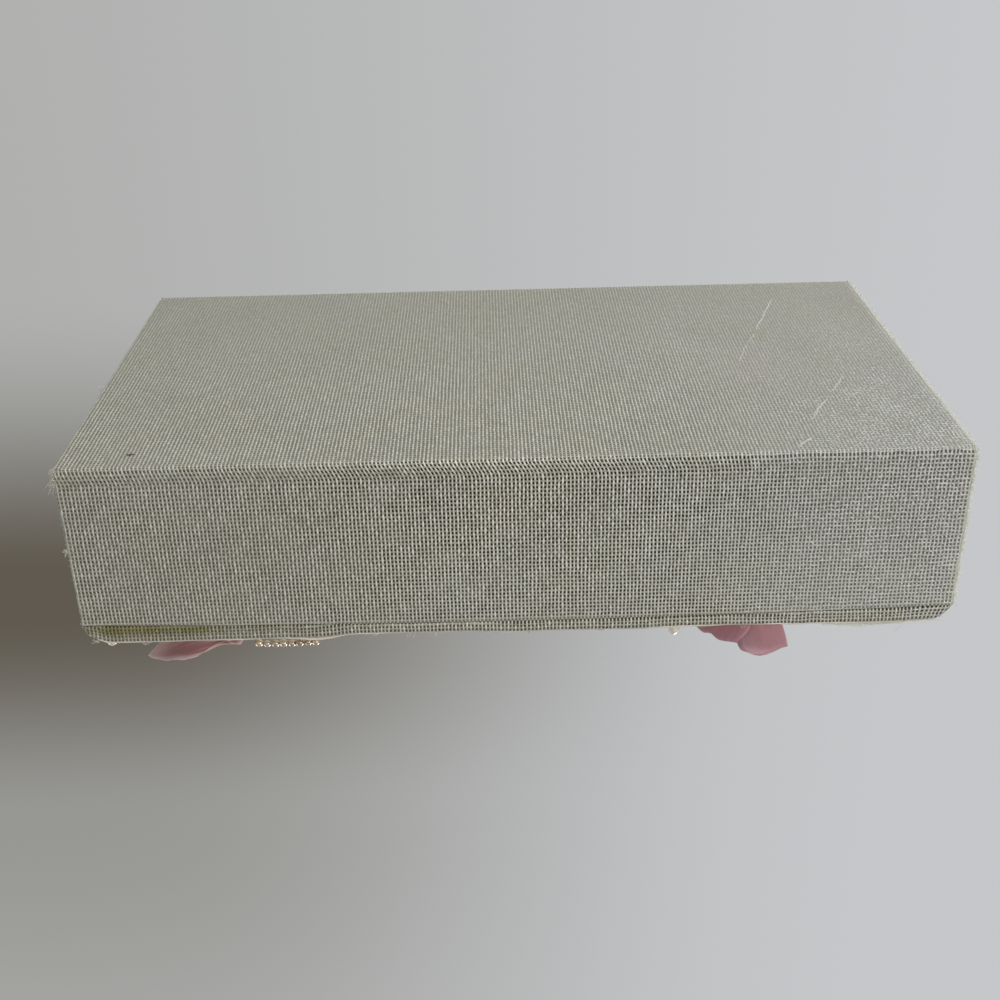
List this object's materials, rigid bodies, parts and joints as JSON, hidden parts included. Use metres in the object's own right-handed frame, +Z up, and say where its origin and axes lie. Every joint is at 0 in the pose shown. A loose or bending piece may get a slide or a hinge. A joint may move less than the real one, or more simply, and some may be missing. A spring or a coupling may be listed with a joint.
{
  "type": "fabric covered box",
  "caption": "Shallow rectangular keepsake box of boards covered in open-weave cloth, with a thin cloth-hinged lid whose satin face carries cloth flowers and beads.",
  "frame": {"origin": "middle of the underside, on the surface that the box stands on", "axes": "+Z up through the lid, +X along the box's length, +Y to the hinge side (the covered spine)"},
  "size_m": [0.232, 0.131, 0.0612],
  "materials": {
    "greyboard": "solid pressed greyboard",
    "cover_cloth": "open plain weave with fine metallic threads",
    "lining_satin": "satin over thin card",
    "ivory_satin": "ivory satin",
    "pale_pink_cloth": "sheer shaped petal cloth",
    "dusty_pink_cloth": "shaped petal cloth",
    "cream_cloth": "shaped petal cloth",
    "sage_cloth": "shaped leaf cloth",
    "bronze_bead": "metal-lined seed bead",
    "pearl": "pearl coat"
  },
  "bodies": {
    "tray": {"base_board": "greyboard", "spine_board": "greyboard", "front_wall_board": "greyboard", "left_wall_board": "greyboard", "right_wall_board": "greyboard", "case_cloth": "cover_cloth", "wall_cloth": "cover_cloth", "floor_lining": "lining_satin", "front_lining": "lining_satin", "back_lining": "lining_satin", "left_lining": "lining_satin", "right_lining": "lining_satin", "hinge_cloth": "cover_cloth", "hinge_liner": "lining_satin"},
    "lid": {"lid_board": "greyboard", "lid_cloth": "cover_cloth", "lid_lining": "lining_satin", "satin_panel": "ivory_satin", "left_flower_outer": "pale_pink_cloth", "left_flower_inner": "cream_cloth", "left_flower_centre": "bronze_bead", "right_flower_outer": "dusty_pink_cloth", "right_flower_inner": "pale_pink_cloth", "right_flower_centre": "bronze_bead", "main_flower_outer": "dusty_pink_cloth", "main_flower_middle": "pale_pink_cloth", "main_flower_inner": "cream_cloth", "main_flower_centre": "bronze_bead", "front_left_flower_outer": "cream_cloth", "front_left_flower_centre": "bronze_bead", "front_right_flower_outer": "pale_pink_cloth", "front_right_flower_centre": "bronze_bead", "edge_bead_row": "bronze_bead", "left_spray": "bronze_bead", "right_spray": "bronze_bead", "front_left_spray": "bronze_bead", "front_right_spray": "bronze_bead", "leaf_1": "sage_cloth", "leaf_2": "sage_cloth", "leaf_3": "sage_cloth", "leaf_4": "sage_cloth", "hinge_petal_1": "pale_pink_cloth", "hinge_petal_2": "pale_pink_cloth", "hinge_petal_3": "pale_pink_cloth", "front_petal_1": "cream_cloth", "front_petal_2": "cream_cloth", "hinge_pearl_1": "pearl", "hinge_pearl_2": "pearl", "hinge_pearl_3": "pearl", "front_pearl_1": "pearl", "front_pearl_2": "pearl"}
  },
  "joints": [
    {"name": "lid_hinge", "type": "hinge", "parent": "tray", "child": "lid", "pos_m": [0, 0.06565, 0.0463], "axis": [-1, 0, 0], "range_deg": [0, 178], "deforming": ["hinge_cloth", "hinge_liner"]}
  ]
}
